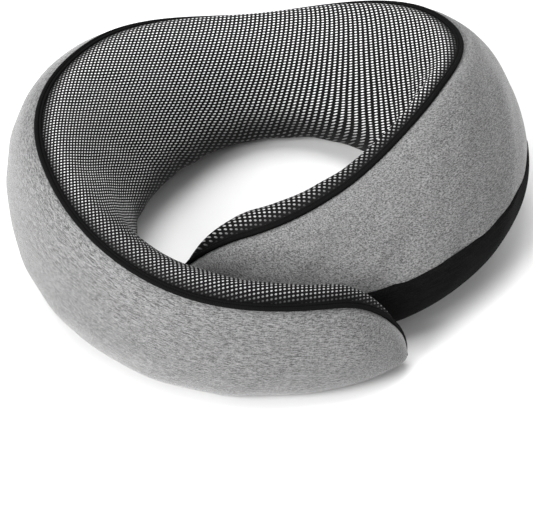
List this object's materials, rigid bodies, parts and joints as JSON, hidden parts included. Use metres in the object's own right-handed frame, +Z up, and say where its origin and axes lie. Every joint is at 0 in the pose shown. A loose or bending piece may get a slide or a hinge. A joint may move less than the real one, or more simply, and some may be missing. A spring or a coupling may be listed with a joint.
{
  "type": "neck pillow",
  "caption": "U shaped travel neck pillow whose foam arms curl round and lap at the front, with a jersey cover and a mesh neck side.",
  "frame": {"origin": "middle of the pillow's bounding box on the surface it rests on", "axes": "+Z up, +Y towards the back of the pillow, -X towards the outer, left arm"},
  "size_m": [0.2893, 0.2715, 0.1178],
  "materials": {
    "jersey": "heathered light grey knit jersey",
    "mesh": "black spacer mesh with rows of small pale dots",
    "piping": "black corded piping",
    "loop": "black brushed loop fabric",
    "hook": "black nylon hook tape",
    "foam": "open cell memory foam",
    "liner": "thin white knit",
    "tape": "grey woven zip tape",
    "coil": "grey nylon coil",
    "zip_metal": "grey painted zinc"
  },
  "bodies": {
    "back": {"foam_core_back": "foam", "foam_liner_back": "liner", "jersey_cover_back": "jersey", "mesh_panel_back": "mesh", "piping_back": "piping", "zip_tape_upper": "tape", "zip_tape_lower": "tape", "zip_coil_upper": "coil", "zip_coil_lower": "coil", "zip_stop_closed": "zip_metal", "zip_stop_open": "zip_metal"},
    "left_arm": {"foam_core_left": "foam", "foam_liner_left": "liner", "jersey_cover_left": "jersey", "mesh_panel_left": "mesh", "piping_left": "piping", "hook_patch": "hook"},
    "right_arm": {"foam_core_right": "foam", "foam_liner_right": "liner", "jersey_cover_right": "jersey", "mesh_panel_right": "mesh", "piping_right": "piping", "loop_patch": "loop"},
    "slider": {"zip_slider": "zip_metal"},
    "pull": {"zip_pull": "zip_metal"}
  },
  "joints": [
    {"name": "left_arm_flex", "type": "hinge", "parent": "back", "child": "left_arm", "pos_m": [-0.09797, 0.10258, 0.04041], "axis": [0, 0, -1], "range_deg": [0, 40], "stiffness_Nm_per_rad": 0.6},
    {"name": "right_arm_flex", "type": "hinge", "parent": "back", "child": "right_arm", "pos_m": [0.11336, 0.09423, 0.05057], "axis": [0, 0, 1], "range_deg": [0, 25]},
    {"name": "zip_slide", "type": "hinge", "parent": "back", "child": "slider", "pos_m": [0.0096, -0.1405, 0.033], "axis": [0, 0, -1], "range_deg": [0, 19.86]},
    {"name": "pull_swing", "type": "hinge", "parent": "slider", "child": "pull", "pos_m": [-0.03795, 0.13112, 0.033], "axis": [0, 0, 1], "range_deg": [0, 150]}
  ],
  "couplings": [
    {"joint": "right_arm_flex", "follows": "left_arm_flex", "ratio": 0.6}
  ]
}
